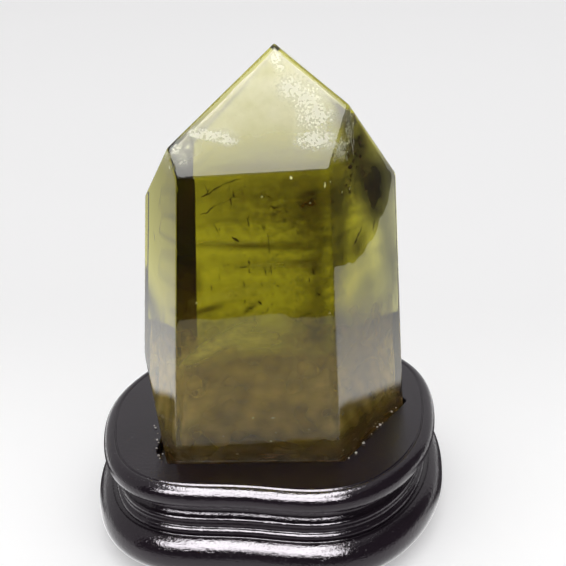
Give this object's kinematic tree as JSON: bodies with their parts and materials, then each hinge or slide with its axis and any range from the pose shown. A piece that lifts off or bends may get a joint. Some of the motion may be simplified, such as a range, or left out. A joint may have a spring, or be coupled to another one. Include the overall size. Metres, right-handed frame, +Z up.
{
  "type": "citrine crystal point on stand",
  "caption": "Polished hexagonal crystal point with a three-faced tip, seated upright in the socket of a moulded, black-lacquered wooden display stand.",
  "frame": {"origin": "middle of the stand's underside, on the surface that it stands on", "axes": "+Z up along the crystal, -Y to the front, +X to the right as seen from the front"},
  "size_m": [0.1096, 0.11, 0.1474],
  "materials": {
    "citrine": "polished clear olive-yellow quartz with smoky bands and white veils",
    "black_lacquer": "thick glossy black lacquer over wood, slightly rippled"
  },
  "bodies": {
    "root": {"crystal_point": "citrine", "display_stand": "black_lacquer"}
  },
  "joints": []
}
